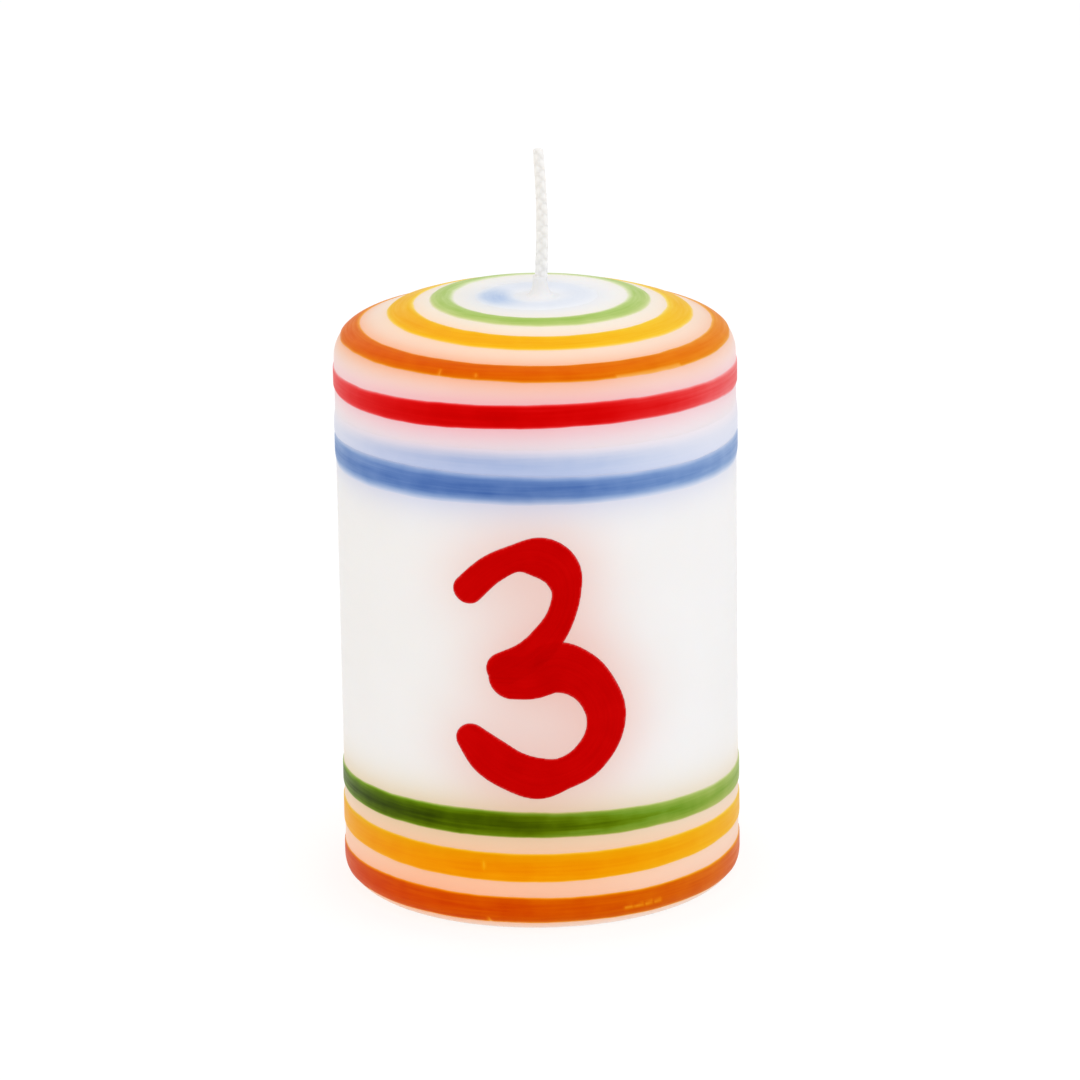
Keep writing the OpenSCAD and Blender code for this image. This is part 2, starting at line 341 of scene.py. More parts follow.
def turning_tree():
    """Turns a closed cut round the upright axis. Its middle can stand off centre, less so further out."""
    tree, add, take, give = shaping_tree("turned_piece", {
        "Cut": "Object", "Rows": "Int", "Steps Round": "Int", "Off Centre": "Float", "Fade From": "Float",
        "Fade To": "Float", "Uneven": "Float",
    })
    columns = add(MATH, [take["Steps Round"], 1.0], **PLUS)
    rows = add(MATH, [take["Rows"], 1.0], **PLUS)
    sheet, turn, across = flat_sheet(add, columns, rows)
    step = add(MATH, [across, 0.5], **PLUS)
    row = add(MATH, [step, take["Rows"]], **TIMES)
    whole = add(MATH, [add(MATH, [row], operation="ROUND"), take["Rows"]], operation="FLOORED_MODULO")
    cut = add(OBJECT, {"Object": take["Cut"]}).outputs["Geometry"]
    point = add("GeometryNodeSampleIndex", {"Geometry": cut, "Value": add(POSITION), "Index": whole},
                data_type="FLOAT_VECTOR")
    at = add(SPLIT, [point])
    rise = add(JOIN, {2: at.outputs["Z"]})
    round_place = add(VECTOR, [facing_way(add, turn), at.outputs["X"], rise], **TIMES_PLUS)
    share = add(RANGE, [at.outputs["X"], take["Fade From"], take["Fade To"], 1.0, 0.0], **SMOOTH)
    shift = add(JOIN, [add(MATH, [share, take["Off Centre"]], **TIMES)])
    place = add(VECTOR, [round_place, shift], **PLUS)
    true = rolled_up(add, sheet, place)
    uneven = add(GROUP, {"Point": add(POSITION)}, node_tree=UNEVENNESS)
    proud = add(MATH, [uneven, take["Uneven"]], **TIMES)
    push = add(VECTOR, [add("GeometryNodeInputNormal"), proud], **TIMES)
    end_tree(add, add(MOVE, {"Geometry": true, "Offset": push}), take, give)
    return tree


def coat_tree():
    """A brushed band round the body: a thin closed film with wandering, feathered edges."""
    tree, add, take, give = shaping_tree("brushed_band", {
        "Outside": "Object", "Nicks": "Object", "Near Edge": "Float", "Far Edge": "Float",
        "Near Wander": "Vector", "Far Wander": "Vector", "Near Feather": "Float", "Far Feather": "Float",
        "Waver": "Float", "Coat": "Float", "Edge Share": "Float", "Depth": "Float", "Full At": "Float",
        "Full Reach": "Float", "Fresh": "Float", "Dry Soak": "Float", "Nick Size": "Float",
        "Nick Left": "Float", "Seed": "Float",
    })
    sheet, turn, across = flat_sheet(add, BAND_STEPS_ROUND + 1, 2 * BAND_STEPS_ACROSS + 1)
    facing = facing_way(add, turn)
    # Across the film: out over its face from the near to the far edge, then back along its underside
    loop = add(MATH, [across, 2.0, 1.0], **TIMES_PLUS)
    fold = add(MATH, [loop, 1.0], operation="PINGPONG")
    share = add(RANGE, [fold], **SMOOTH)
    on_face = add(MATH, [loop, 1.0], operation="LESS_THAN")
    # Edges: a slow wander as the candle turned off true, and a finer waver of the hand
    twice = add(MATH, [turn, 2.0], **TIMES)
    swings = add(JOIN, [
        add(MATH, [turn], operation="SINE"),
        add(MATH, [twice], operation="COSINE"),
        add(MATH, [twice], operation="SINE"),
    ])
    hand = add(NOISE, {"Vector": facing, "W": take["Seed"], "Scale": HAND_WAVES, "Detail": 3.0},
               noise_dimensions="4D")
    shake = add(VECTOR, [hand.outputs["Color"], (0.5, 0.5, 0.5)], operation="SUBTRACT")
    shakes = add(SPLIT, [add(VECTOR, [shake, take["Waver"]], **TIMES)])
    edges = []
    for edge, wander, axis in (("Near Edge", "Near Wander", "X"), ("Far Edge", "Far Wander", "Y")):
        sway = add(VECTOR, [swings, take[wander]], operation="DOT_PRODUCT").outputs["Value"]
        swayed = add(MATH, [take[edge], sway], **PLUS)
        edges.append(add(MATH, [swayed, shakes.outputs[axis]], **PLUS))
    near, far = edges
    width = add(MATH, [far, near], operation="SUBTRACT")
    in_near = add(MATH, [share, width], **TIMES)
    in_far = add(MATH, [width, in_near], operation="SUBTRACT")
    run = add(MATH, [near, in_near], **PLUS)
    # How full the coat is: nothing at its feathered edges, and thin in its nicks, scratches and painted
    # highlights
    full_near = add(RANGE, {0: in_near, 2: take["Near Feather"]}, **SMOOTH)
    full_far = add(RANGE, {0: in_far, 2: take["Far Feather"]}, **SMOOTH)
    full = add(MATH, [full_near, full_far], **TIMES)
    outside = add(OBJECT, {"Object": take["Outside"]}).outputs["Geometry"]
    nicks_and_glints = add(OBJECT, {"Object": take["Nicks"]}).outputs["Geometry"]
    on_wax = {"Outside": outside, "Facing": facing, "Run": run}
    bare = add(GROUP, {**on_wax, "Height": 0.0}, node_tree=ON_WAX)
    nick = add(PROXIMITY, {0: nicks_and_glints, "Sample Position": bare}, target_element="EDGES").outputs["Distance"]
    whole = add(RANGE, {0: nick, 2: take["Nick Size"], 3: take["Nick Left"]}, **SMOOTH)
    full = add(MATH, [full, whole], **TIMES)
    # Painted shade and light: the coat is made deeper and darker round one turn, and paler away from it
    # towards the lit side and the edges
    since = add(MATH, [turn, take["Full At"]], operation="SUBTRACT")
    wrapped = add(MATH, [since, math.pi, -math.pi], operation="WRAP")
    away = add(MATH, [wrapped], operation="ABSOLUTE")
    toward_shade = add(RANGE, {0: away, 2: take["Full Reach"], 3: 1.0, 4: 0.0}, **SMOOTH)
    shade_gain = add(MATH, [toward_shade, take["Fresh"], 1.0], **TIMES_PLUS)
    # It is deeper along its middle than beside its edges
    half_turn = add(MATH, [share, math.pi], **TIMES)
    arch = add(MATH, [half_turn], operation="SINE")
    arched = add(MATH, [arch, 2.0], operation="POWER")
    crown = add(RANGE, {0: arched, 3: take["Edge Share"], 4: 1.0})
    colour = add(MATH, [full, crown], **TIMES)
    with_shade = add(MATH, [colour, shade_gain], **TIMES)
    load = add(MATH, [with_shade, take["Depth"]], **TIMES)
    face = add(MATH, [full, on_face], **TIMES)
    height = add(MATH, [face, take["Coat"], -COAT_SINK * MM], **TIMES_PLUS)
    place = add(GROUP, {**on_wax, "Height": height}, node_tree=ON_WAX)
    grain = add(VECTOR, [facing, (BODY_R * MM,) * 3, add(JOIN, {2: run})], **TIMES_PLUS)
    # A coat gives more of its dye and painted glow to the wax round the turn where its painted shade is
    # deepest
    glow_round = add(RANGE, {0: toward_shade, 3: take["Dry Soak"], 4: 1.0})
    soak = add(MATH, [full, glow_round], **TIMES)
    kept = add(STORE, {"Geometry": sheet, "Name": "soak", "Value": soak})
    kept = add(STORE, {"Geometry": kept, "Name": "load", "Value": load})
    kept = add(STORE, {"Geometry": kept, "Name": "brush_way", "Value": grain}, data_type="FLOAT_VECTOR")
    end_tree(add, rolled_up(add, kept, place), take, give)
    return tree


def numeral_tree():
    """Lays the flat numeral, drawn as [round the side, up, height], on the side of the body."""
    tree, add, take, give = shaping_tree("numeral_on_side", {"Outside": "Object", "Side Run": "Float"})
    flat = add(SPLIT, [add(POSITION)])
    turn = add(MATH, [flat.outputs["X"], BODY_R * MM], operation="DIVIDE")
    run = add(MATH, [take["Side Run"], flat.outputs["Y"]], operation="SUBTRACT")
    outside = add(OBJECT, {"Object": take["Outside"]}).outputs["Geometry"]
    place = add(GROUP, {
        "Outside": outside, "Facing": facing_way(add, turn), "Run": run, "Height": flat.outputs["Z"],
    }, node_tree=ON_WAX)
    end_tree(add, add(MOVE, {"Geometry": take["Geometry"], "Position": place}), take, give)
    return tree


def dye_and_glow_tree(coats):
    """Dye that creeps from each coat into the wax beside it, with a painted glow of the coloured light that
    the wax scatters from the coat, kept on the wax as an attribute.
    """
    tree, add, take, give = shaping_tree("stained_wax", dict.fromkeys(SPREADS, "Int"))
    # Dye and painted glow add up as the logarithm of their tint; they are spread first and turned back into a
    # tint after
    dye_glows = {}
    given = add(NAMED, {"Name": "soak"}, data_type="FLOAT")
    for coat, tint, spreads in coats:
        film = add(OBJECT, {"Object": coat}).outputs["Geometry"]
        gap = add(PROXIMITY, [film], target_element="FACES").outputs["Distance"]
        under = add(MATH, [gap, UNDER_COAT * MM], operation="LESS_THAN")
        soak = add(NEAREST, {"Mesh": film, "Value": given}, data_type="FLOAT")
        amount = add(MATH, [under, soak], **TIMES)
        red, green, blue = (math.log(part) for part in linear(tint)[:3])
        for spread, share in spreads.items():
            strength = [share * part for part in (red - RED_GLOW * blue, green, blue)]
            dye_glows[spread] = add(VECTOR, [strength, amount, dye_glows.get(spread, (0.0, 0.0, 0.0))], **TIMES_PLUS)
    total = (0.0, 0.0, 0.0)
    for spread, dye_glow in dye_glows.items():
        spread_out = add("GeometryNodeBlurAttribute", {0: dye_glow, "Iterations": take[spread]},
                         data_type="FLOAT_VECTOR")
        total = add(VECTOR, [spread_out, total], **PLUS)
    tinted = add(VECTOR, [(math.e,) * 3, total], operation="POWER")
    kept = add(STORE, {"Geometry": take["Geometry"], "Name": "stain", "Value": tinted},
               data_type="FLOAT_COLOR")
    end_tree(add, kept, take, give)
    return tree


def under_coat_tree():
    """Gives a coat the dye and painted glow of the wax under it, so that a thin edge runs into the wax."""
    tree, add, take, give = shaping_tree("stain_under_coat", {"Body": "Object"})
    body = add(OBJECT, {"Object": take["Body"]}).outputs["Geometry"]
    stain = add(NAMED, {"Name": "stain"}, data_type="FLOAT_COLOR")
    below = add(NEAREST, {"Mesh": body, "Value": stain}, data_type="FLOAT_COLOR")
    kept = add(STORE, {"Geometry": take["Geometry"], "Name": "stain", "Value": below},
               data_type="FLOAT_COLOR")
    end_tree(add, kept, take, give)
    return tree


def wick_tree():
    """A plait of waxed strands that stands up from the holder, thins above the wax and bows a little."""
    tree, add, take, give = shaping_tree("plaited_wick", {
        "Foot": "Vector", "Tip": "Vector", "Wax Top": "Float", "Strands": "Int", "Pitch": "Float",
        "Spread": "Float", "Strand Radius": "Float", "Tip Share": "Float", "Bow": "Float", "Steps": "Int",
    })
    middle = add("GeometryNodeCurvePrimitiveLine", {"Start": take["Foot"], "End": take["Tip"]})
    fine = add("GeometryNodeResampleCurve", {"Curve": middle, "Count": take["Steps"]}, mode="COUNT")
    strands = add("GeometryNodeDuplicateElements", {0: fine, "Amount": take["Strands"]}, domain="SPLINE")
    along = add("GeometryNodeSplineParameter").outputs["Length"]
    up = add(SPLIT, [add(POSITION)]).outputs["Z"]
    top = add(SPLIT, [take["Tip"]]).outputs["Z"]
    thin = add(RANGE, [up, take["Wax Top"], top, 1.0, take["Tip Share"]])
    # Each strand swings from side to side, and over and under twice as often
    own = add(MATH, [strands.outputs["Duplicate Index"], take["Strands"]], operation="DIVIDE")
    weaves = add(MATH, [along, take["Pitch"]], operation="DIVIDE")
    turns = add(MATH, [weaves, own], **PLUS)
    beat = add(MATH, [turns, math.tau], **TIMES)
    side = add(MATH, [beat], operation="SINE")
    beat_twice = add(MATH, [beat, 2.0], **TIMES)
    cross = add(MATH, [beat_twice], operation="SINE")
    reach = add(MATH, [take["Spread"], thin], **TIMES)
    crossed = add(MATH, [cross, reach], **TIMES)
    weave = add(JOIN, [add(MATH, [side, reach], **TIMES), add(MATH, [crossed, PLAIT_DEPTH], **TIMES)])
    free = add(RANGE, [up, take["Wax Top"], top, 0.0, math.pi])
    bowed = add(MATH, [free], operation="SINE")
    bend = add(MATH, [bowed, take["Bow"]], **TIMES)
    offset = add(VECTOR, [weave, add(JOIN, [bend])], **PLUS)
    thick = add(MATH, [thin, take["Strand Radius"]], **TIMES)
    kept = add(STORE, {"Geometry": strands, "Name": "thick", "Value": thick})
    kept = add(STORE, {"Geometry": kept, "Name": "strand_run", "Value": along})
    woven = add(MOVE, {"Geometry": kept, "Offset": offset})
    ring = add("GeometryNodeCurvePrimitiveCircle", {"Resolution": STRAND_SIDES, "Radius": 1.0},
               mode="RADIUS")
    part_round = add("GeometryNodeSplineParameter").outputs["Factor"]
    profile = add(STORE, {"Geometry": ring, "Name": "strand_turn", "Value": part_round})
    tube = add("GeometryNodeCurveToMesh", {
        "Curve": woven, "Profile Curve": profile, "Fill Caps": True,
        "Scale": add(NAMED, {"Name": "thick"}, data_type="FLOAT"),
    })
    end_tree(add, tube, take, give)
    return tree


def pressing_tree():
    """Presses shallow spokes into the holder's disc and crimps its neck on the wick."""
    tree, add, take, give = shaping_tree("pressed_spokes", {
        "Middle": "Vector", "Spokes": "Int", "Spoke Depth": "Float", "Crimp Depth": "Float",
    })
    from_wick = add(VECTOR, [add(POSITION), take["Middle"]], operation="SUBTRACT")
    x, y, up = add(SPLIT, [from_wick]).outputs
    level = add(JOIN, [x, y])
    out = add(VECTOR, [level], operation="LENGTH").outputs["Value"]
    turn = add(MATH, [y, x], operation="ARCTAN2")
    turns = add(MATH, [turn, take["Spokes"]], **TIMES)
    beat = add(MATH, [turns], operation="COSINE")
    ridge = add(RANGE, [beat, SPOKE_EDGE[0], SPOKE_EDGE[1]], **SMOOTH)
    inner = add(RANGE, [out, SPOKE_IN[0] * MM, SPOKE_IN[1] * MM], **SMOOTH)
    outer = add(RANGE, [out, SPOKE_OUT[0] * MM, SPOKE_OUT[1] * MM, 1.0, 0.0], **SMOOTH)
    disc = add(MATH, [inner, outer], **TIMES)
    spoke = add(MATH, [ridge, disc], **TIMES)
    drop = add(MATH, [spoke, take["Spoke Depth"]], **TIMES)
    high = add(RANGE, [up, CRIMP_UP[0] * MM, CRIMP_UP[1] * MM], **SMOOTH)
    crimp = add(MATH, [ridge, high], **TIMES)
    pinch = add(MATH, [crimp, take["Crimp Depth"]], **TIMES)
    inward = add(MATH, [pinch, out], operation="DIVIDE")
    pull = add(VECTOR, [level, inward], **TIMES)
    moved = add(VECTOR, [add(JOIN, {2: drop}), pull], **PLUS)
    down = add(VECTOR, [moved, (-1.0, -1.0, -1.0)], **TIMES)
    end_tree(add, add(MOVE, {"Geometry": take["Geometry"], "Offset": down}), take, give)
    return tree


# Materials

# Colours of the wax, the depth beyond which a coat grows dull, and the table's grey and glow
WAX_LIGHT, WAX_CLOUDY = "#F0EEED", "#EBE8E5"
HEAVY_FROM = 2.0
TABLE_GREY, TABLE_GLOW = 0.33, 0.7


def new_material(name):
    """An empty node material, what adds nodes to it, its shader and the coordinates of the piece."""
    material = bpy.data.materials.new(name)
    material.use_nodes = True
    add = partial(add_node, material.node_tree)
    shader = material.node_tree.nodes["Principled BSDF"]
    return material, add, shader, add("ShaderNodeTexCoord").outputs["Object"]


def cast_white_wax():
    """Paraffin wax, cast in a mould and wiped: milky, faintly cloudy, with a soft and broken satin gloss."""
    material, add, shader, place = new_material("white_wax_cast")
    # Clouds about 14 mm across, where the wax cooled at different rates
    clouds = add(NOISE, {"Vector": place, "Scale": 1 / (14 * MM), "Detail": 3.0})
    milk = add(MIX, {0: clouds, 6: linear(WAX_LIGHT), 7: linear(WAX_CLOUDY)}, data_type="RGBA")
    # The wax's colour is multiplied by the dye and painted glow that the coats give it
    stain = add(ATTRIBUTE, attribute_name="stain")
    tinted = add(MIX, {0: 1.0, 6: milk.outputs[2], 7: stain.outputs["Color"]}, data_type="RGBA",
                 blend_type="MULTIPLY")
    # Wiping marks, about 5 mm long and 1 mm apart, show only in the gloss
    marks = add(VECTOR, [place, (1 / (5 * MM), 1 / (5 * MM), 1 / MM)], **TIMES)
    wiped = add(NOISE, {"Vector": marks, "Scale": 1.0, "Detail": 2.0})
    gloss = add(RANGE, [wiped, 0.3, 0.7, 0.36, 0.50])
    # Ripples about 2.5 mm across, left by the mould
    ripple = add(NOISE, {"Vector": place, "Scale": 1 / (2.5 * MM), "Detail": 2.0})
    bumps = add(BUMP, {"Height": ripple, "Distance": 0.03 * MM, "Strength": 0.6})
    plug(shader, {
        "Base Color": tinted.outputs[2], "Roughness": gloss, "Normal": bumps, "IOR": 1.44,
        "Specular IOR Level": 0.15, "Subsurface Weight": 0.15, "Subsurface Radius": (1.0, 0.75, 0.55),
        "Subsurface Scale": 0.8 * MM,
    })
    return material


def brushed_paint(name, deep, heavy="#FFFFFF"):
    """Coloured wax brushed on hot: clear pigment that deepens with the coat, faint streaks, a soft gloss."""
    material, add, shader, place = new_material(name)
    # The coat's depth, which also carries the painted shade and light round the body
    load = add(ATTRIBUTE, attribute_name="load").outputs["Fac"]
    way = add(ATTRIBUTE, attribute_name="brush_way").outputs["Vector"]
    # Streaks of single bristles, 0.35 mm wide and drawn out over 9 mm of the brush's way
    drawn = add(VECTOR, [way, (1 / (9 * MM), 1 / (9 * MM), 1 / (0.35 * MM))], **TIMES)
    streaks = add(NOISE, {"Vector": drawn, "Scale": 1.0, "Detail": 2.0})
    # Pools about 3 mm across, where the hot wax gathered
    pools = add(NOISE, {"Vector": place, "Scale": 1 / (3 * MM), "Detail": 2.0})
    streaky = add(RANGE, [streaks, 0.25, 0.75, 0.88, 1.12])
    pooled = add(RANGE, [pools, 0.25, 0.75, 0.9, 1.1])
    uneven = add(MATH, [streaky, pooled], **TIMES)
    thick = add(MATH, [load, uneven], **TIMES)
    # Light goes through the coat to the white wax and back: each channel falls off with the coat's depth
    clear = add(VECTOR, [linear(deep)[:3], thick], operation="POWER")
    # A heavy coat is also dulled by the tint heavy
    over = add(MATH, [thick, HEAVY_FROM], operation="SUBTRACT")
    excess = add(MATH, [over, 0.0], operation="MAXIMUM")
    dulled = add(VECTOR, [linear(heavy)[:3], excess], operation="POWER")
    seen = add(VECTOR, [clear, dulled], **TIMES)
    # The wax under the coat, with the dye and painted glow that the coats give it
    stain = add(ATTRIBUTE, attribute_name="stain").outputs["Vector"]
    wax = add(VECTOR, [stain, linear(WAX_LIGHT)[:3]], **TIMES)
    over_wax = add(VECTOR, [seen, wax], **TIMES)
    gloss = add(RANGE, [streaks, 0.3, 0.7, 0.34, 0.46])
    bumps = add(BUMP, {"Height": streaks, "Distance": 0.02 * MM, "Strength": 0.5})
    plug(shader, {
        "Base Color": over_wax, "Roughness": gloss, "Normal": bumps, "IOR": 1.44, "Specular IOR Level": 0.06,
        "Specular Tint": [part ** 2 for part in linear(deep)],
    })
    return material


def waxed_cotton():
    """Cotton yarn plaited and primed with wax: off-white, fine twisted fibres under a thin satin film."""
    material, add, shader, place = new_material("waxed_cotton_plait")
    run = add(ATTRIBUTE, attribute_name="strand_run").outputs["Fac"]
    turn = add(ATTRIBUTE, attribute_name="strand_turn").outputs["Fac"]
    # Nine bundles of fibres lie slantwise round each strand, one turn in 2 mm
    lay = add(MATH, [run, 1 / (2 * MM), turn], **TIMES_PLUS)
    bundles = add(MATH, [lay, 9 * math.tau], **TIMES)
    fibre = add(MATH, [bundles], operation="SINE")
    wool = add(NOISE, {"Vector": place, "Scale": 1 / (0.6 * MM), "Detail": 3.0})
    rough = add(MATH, [fibre, 0.25, wool], **TIMES_PLUS)
    tone = add(RANGE, [rough, 0.2, 0.8])
    colour = add(MIX, {0: tone, 6: linear("#FBF7F2"), 7: linear("#FFFDFA")}, data_type="RGBA")
    bumps = add(BUMP, {"Height": rough, "Distance": 0.02 * MM, "Strength": 0.25})
    plug(shader, {
        "Base Color": colour.outputs[2], "Normal": bumps, "IOR": 1.44, "Subsurface Weight": 0.25,
        "Roughness": add(RANGE, [wool, 0.3, 0.7, 0.45, 0.65]),
        "Subsurface Radius": (1.0, 0.9, 0.8), "Subsurface Scale": 0.4 * MM,
    })
    return material


def stamped_tinplate():
    """Tinned steel sheet, rolled and stamped: bright grey metal with fine rolling lines and dull scuffs."""
    material, add, shader, place = new_material("tinplate_stamped")
    # Rolling lines 0.15 mm apart run along X; scuffs are about 2 mm across
    lines = add(VECTOR, [place, (1 / (12 * MM), 1 / (0.15 * MM), 1 / MM)], **TIMES)
    rolled = add(NOISE, {"Vector": lines, "Scale": 1.0, "Detail": 2.0})
    scuffs = add(NOISE, {"Vector": place, "Scale": 1 / (2 * MM), "Detail": 4.0})
    colour = add(MIX, {0: scuffs, 6: linear("#D8D9DA"), 7: linear("#B4B6B8")}, data_type="RGBA")
    scuffed = add(RANGE, [scuffs, 0.4, 0.7, 0.0, 0.18])
    sheen = add(RANGE, [rolled, 0.3, 0.7, 0.2, 0.32])
    dull = add(MATH, [scuffed, sheen], **PLUS)
    bumps = add(BUMP, {"Height": rolled, "Distance": 0.01 * MM, "Strength": 0.4})
    plug(shader, {"Base Color": colour.outputs[2], "Roughness": dull, "Normal": bumps, "Metallic": 1.0})
    return material


def lit_table():
    """A matt white acrylic table lit from below, as for packshots: nearly no shadow."""
    material, add, shader, place = new_material("white_acrylic_table")
    grain = add(NOISE, {"Vector": place, "Scale": 1 / (0.4 * MM), "Detail": 1.0})
    plug(shader, {
        "Base Color": (TABLE_GREY, TABLE_GREY, TABLE_GREY, 1.0), "Specular IOR Level": 0.1,
        "Roughness": add(RANGE, {0: grain, 3: 0.75, 4: 0.9}),
        "Emission Color": (1.0, 1.0, 1.0, 1.0), "Emission Strength": TABLE_GLOW,
    })
    return material


white_wax = cast_white_wax()
cotton = waxed_cotton()
tinplate = stamped_tinplate()
# Each paint has the colour that its coat has at a depth of 1
PAINTS = {
    "red_paint": brushed_paint("red_wax_paint", "#D70606"),
    "orange_paint": brushed_paint("orange_wax_paint", "#DE8D05"),
    "yellow_paint": brushed_paint("yellow_wax_paint", "#F3CC10"),
    "green_paint": brushed_paint("green_wax_paint", "#B2D57C", "#FFD640"),
    "blue_paint": brushed_paint("blue_wax_paint", "#6C92C4"),
    "pale_blue_paint": brushed_paint("pale_blue_wax_paint", "#D4E2F4"),
}

# The outer line as a curve, for the coats to follow
outside_curve = bpy.data.curves.new("outside", "CURVE")
outside_curve.dimensions = "3D"
outside_spline = outside_curve.splines.new("POLY")
outside_spline.points.add(len(OUTSIDE) - 1)
for spline_point, (out, up) in zip(outside_spline.points, OUTSIDE):
    spline_point.co = (out * MM, 0, up * MM, 1)
outside = bpy.data.objects.new("outside", outside_curve)
bpy.context.scene.collection.objects.link(outside)

# Bands, first line: node, paint slot, edges as a radius on the top or a height on the side, and how each edge
# wanders in mm (once to the right, twice to the front, twice to the right).
# Second line: feather of each edge, colour beside the edges as a share of that along the middle, depth of the
# coat, where painted shade makes the coat deepest and how far that reaches in degrees from the front, how
# much deeper it is there, and the tint of the dye and painted glow that the coat gives the wax beside it.
BANDS = [
    ("centre_ring", "pale_blue_paint", ("top", 2.3, 8.0), (0.35, 0, 0), (0.35, 0, 0),
     2.4, 1.8, 0.65, 0.13, -76, 70, 8.0, "#DCE8FF"),
    ("green_ring", "green_paint", ("top", 10.8, 13.95), (0.8, 0.25, 0), (0.8, 0.1, 0),
     1.0, 0.5, 0.7, 0.87, 0, 140, 0.3, "#FBF4D4"),
    ("yellow_ring", "yellow_paint", ("top", 15.8, 19.3), (0.8, 0.25, 0), (0.8, 0.15, 0),
     0.6, 0.6, 0.75, 0.8, -35, 100, 0.35, "#FFCE9A"),
    ("orange_ring", "orange_paint", ("top", 21.9, 24.3), (0.2, 0.2, 0.2), (0.1, 0.1, 0.2),
     0.5, 0.38, 0.9, 0.58, -30, 130, 0.75, "#E4824D"),
    ("red_stripe", "red_paint", ("side", 67.35, 64.2), (-0.1, -0.3, -0.05), (0.15, -0.25, -0.3),
     0.5, 0.5, 0.75, 0.3, -12, 85, 2.9, "#F88795"),
    ("pale_blue_stripe", "pale_blue_paint", ("side", 62.1, 58.4), (-0.2, -0.2, 0.2), (0.15, -0.1, 0.3),
     2.0, 0.15, 0.65, 0.16, -11, 78, 7.4, "#EEF3FF"),
    ("blue_stripe", "blue_paint", ("side", 58.8, 54.5), (0.15, -0.1, 0.3), (0.1, -0.2, 0),
     1.0, 1.6, 0.65, 0.62, -15, 95, 0.75, "#B6C2F4"),
    ("low_green_stripe", "green_paint", ("side", 15.75, 12.4), (0.1, -0.25, 0.25), (0.2, -0.1, 0),
     0.4, 0.4, 0.65, 1.4, -38, 117, 1.65, "#CEBE86"),
    ("low_yellow_stripe", "yellow_paint", ("side", 10.75, 7.05), (0.15, 0.15, -0.05), (-0.1, 0.35, 0.05),
     0.4, 0.4, 0.8, 0.85, -14, 95, 0.7, "#FFB982"),
    ("low_orange_stripe", "orange_paint", ("side", 5.0, 1.25), (-0.2, 0.1, 0.25), (0, 0.05, 0),
     0.45, 0.7, 0.95, 1.2, -45, 110, 0.25, "#F69862"),
]
# Tint of the dye and painted glow that the red numeral gives the wax round it
NUMERAL_TINT = "#E6B4A6"
# How far the dye and painted glow spread in the wax, in steps, and the share of each spread that a coat's dye
# and glow take
SPREADS = {"Near Spread": 16, "Wide Spread": 75, "Far Spread": 180}
BAND_SPREADS = {"Near Spread": 0.2, "Wide Spread": 0.8}
NUMERAL_SPREADS = {"Far Spread": 1.0}
# Share of its dye and painted glow that a coat gives to the wax away from where its painted shade is deepest
GLOW_AWAY_SHARE = 0.6
# Red light spreads furthest in the wax, painted as glow: the share of the blue that a coat's tint takes that
# comes back as red
RED_GLOW = 0.15
# Nicks, scratches and painted highlights in a band: from and to, each as degrees from the front and share of
# the width
NICK_SIZE, NICK_LEFT = 0.4, 0.4
NICKS_AND_GLINTS = {
    # The orange ring's first two marks are painted highlights: two small glints, made as short pale streaks
    # where the coat thins to the white wax
    "orange_ring": [((-28.8, 0.66), (-28.8, 0.82)), ((-17.4, 0.7), (-17.3, 0.76)), ((24, 0.97), (46, 0.98))],
    "low_yellow_stripe": [((-16.8, 0.42), (-16.8, 0.6))],
    "low_orange_stripe": [
        ((-15.7, 0.82), (-15.2, 1.0)), ((-61.0, 0.85), (-60.0, 1.0)), ((24.0, 0.62), (26.0, 0.6)),
        ((27.3, 0.62), (29.3, 0.59)), ((30.6, 0.61), (32.4, 0.58)), ((33.7, 0.6), (35.4, 0.58)),
    ],
}


def on_side_point(turn, run):
    """A point of the true outer surface, in metres."""
    angle = math.radians(turn)
    out, up = (np.interp(run, RUN, OUTSIDE[:, k]) for k in (0, 1))
    return (out * math.sin(angle) * MM, -out * math.cos(angle) * MM, up * MM)


def brushed_band(node, slot, edges, near_wander, far_wander, near_feather, far_feather, edge_share, depth,
                 shade_at, reach, shade_gain, seed):
    """One coat brushed round the body as it turned."""
    run_at = run_at_radius if edges[0] == "top" else run_at_height
    near, far = run_at(edges[1]), run_at(edges[2])
    # A first scratch far below the candle keeps the list from being empty
    ends = [(0, 0, -1), (0, 0, -1.001)]
    lines = [(0, 1)]
    for (turn, share), (last_turn, last_share) in NICKS_AND_GLINTS.get(node, ()):
        steps = 1 + round(abs(last_turn - turn) / SCRATCH_STEP)
        lines += [(len(ends) + i, len(ends) + i + 1) for i in range(steps)]
        ends += [on_side_point(t, near + s * (far - near))
                 for t, s in line((turn, share), (last_turn, last_share), steps)]
    scratches = new_piece("scratches", ends, lines)
    piece = grow(new_piece(node + "_coat"), COAT_TREE, {
        "Outside": outside, "Nicks": scratches, "Near Edge": near * MM, "Far Edge": far * MM,
        "Near Wander": [v * MM for v in near_wander], "Far Wander": [v * MM for v in far_wander],
        "Near Feather": near_feather * MM, "Far Feather": far_feather * MM, "Waver": HAND_WAVER * MM,
        "Coat": (COAT_T + COAT_SINK) * MM, "Edge Share": edge_share, "Depth": depth,
        "Full At": math.radians(shade_at), "Full Reach": math.radians(reach), "Fresh": shade_gain,
        "Dry Soak": GLOW_AWAY_SHARE, "Nick Size": NICK_SIZE * MM, "Nick Left": NICK_LEFT, "Seed": float(seed),
        "Material": PAINTS[slot],
    })
    bpy.data.objects.remove(scratches)
    return piece


COAT_TREE = coat_tree()
coats = {}
for seed, (node, slot, *shape, tint) in enumerate(BANDS):
    coats[node] = (brushed_band(node, slot, *shape, seed), slot, tint, BAND_SPREADS)

